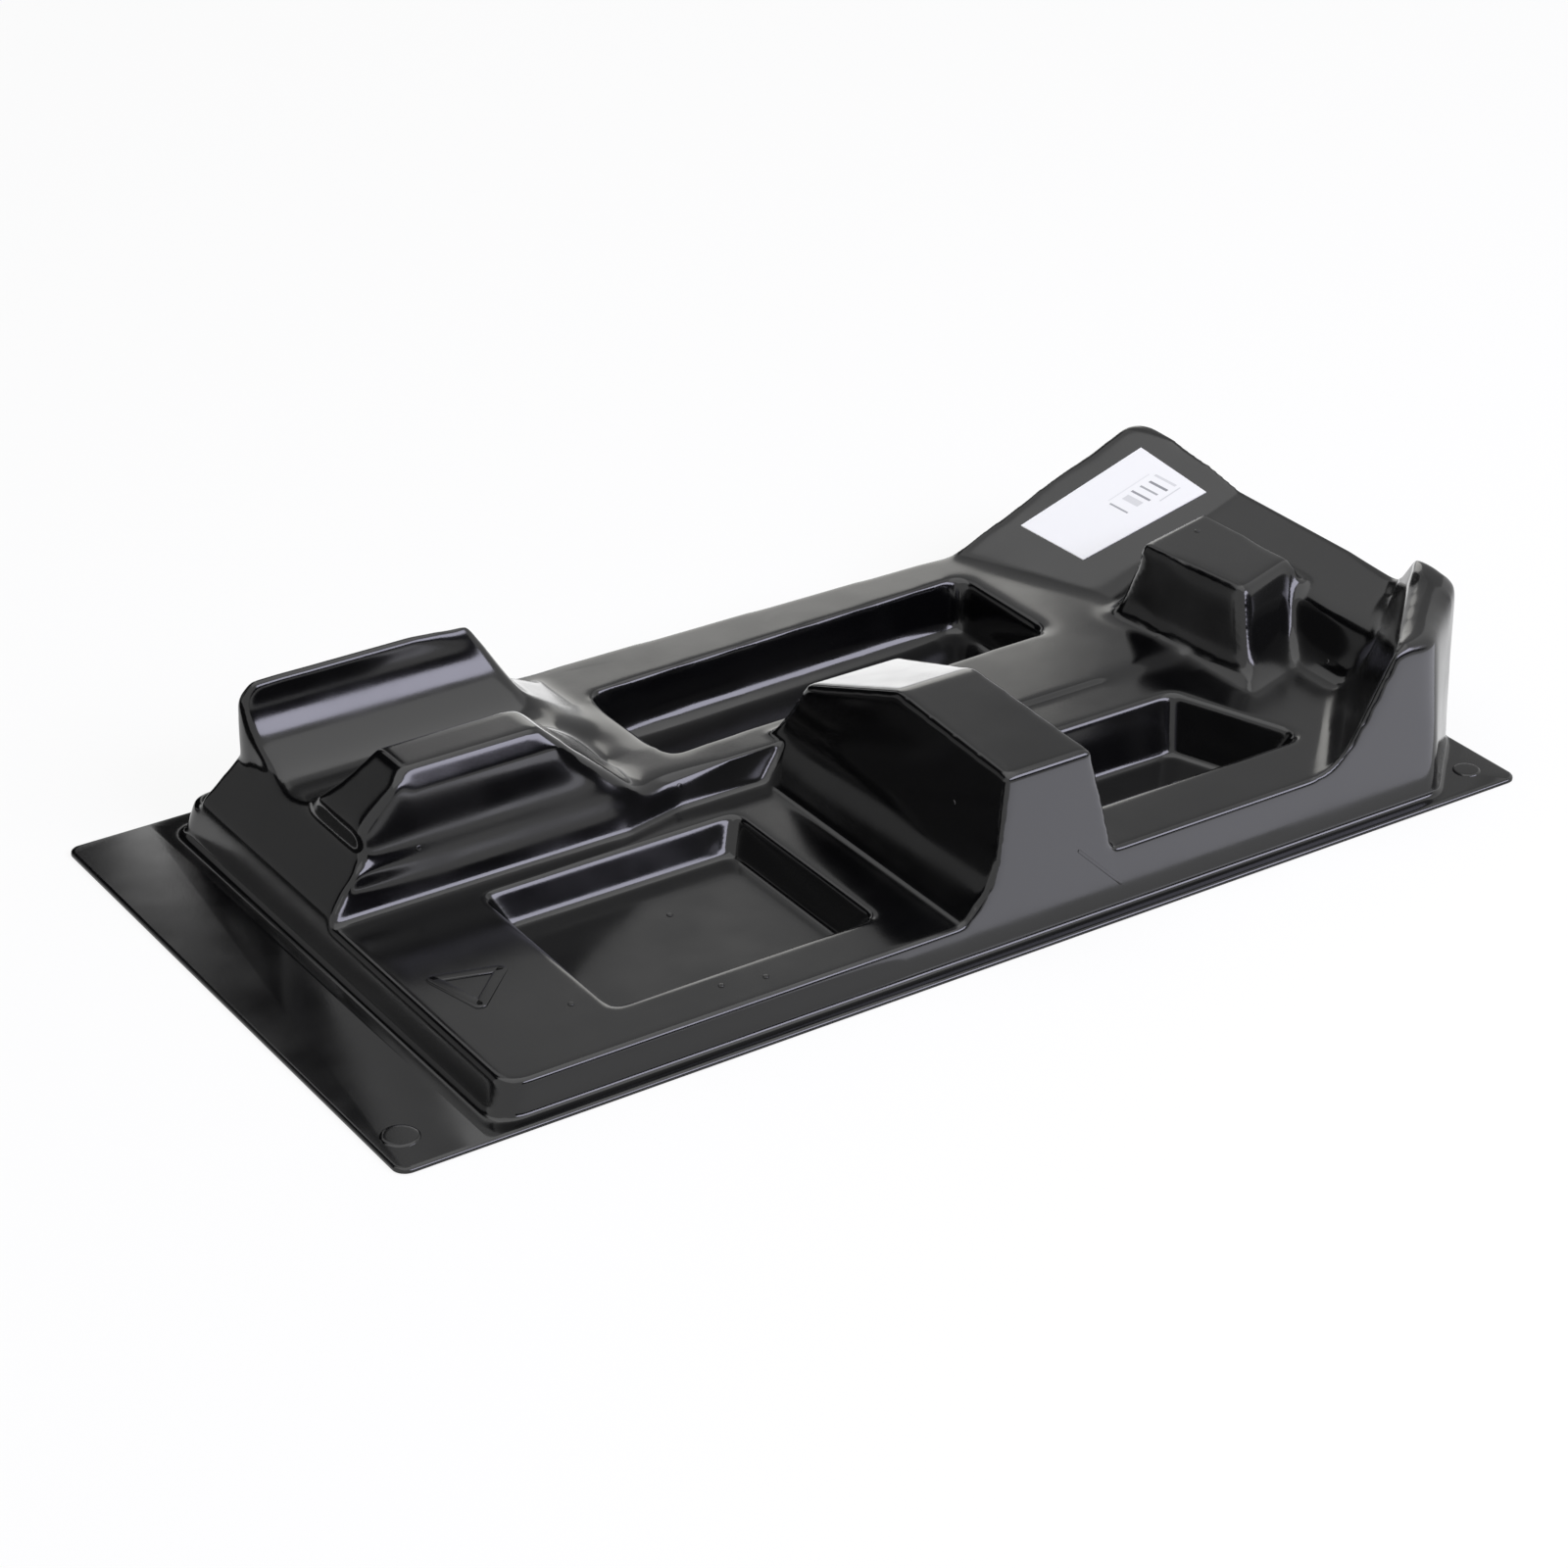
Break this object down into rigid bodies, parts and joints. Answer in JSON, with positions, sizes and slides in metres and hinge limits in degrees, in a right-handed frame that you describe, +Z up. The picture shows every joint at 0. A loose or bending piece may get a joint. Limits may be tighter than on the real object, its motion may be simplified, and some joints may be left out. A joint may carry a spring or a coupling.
{
  "type": "thermoformed tray",
  "caption": "Shallow rectangular plastic tray, thermoformed, with a flat pocket, a long slot, a saddle with a round trough, an upright block, a sloping end with a bowl, and a paper label.",
  "frame": {"origin": "centre of the flange's underside, on the surface that the tray stands on", "axes": "+X along the tray towards its sloping right end, +Y to the back, +Z up"},
  "size_m": [0.38, 0.2, 0.0552],
  "materials": {
    "tray": "glossy black, softly reflecting",
    "label": "matt white with short grey bars"
  },
  "bodies": {
    "root": {"tray": "tray", "label": "label"}
  },
  "joints": []
}
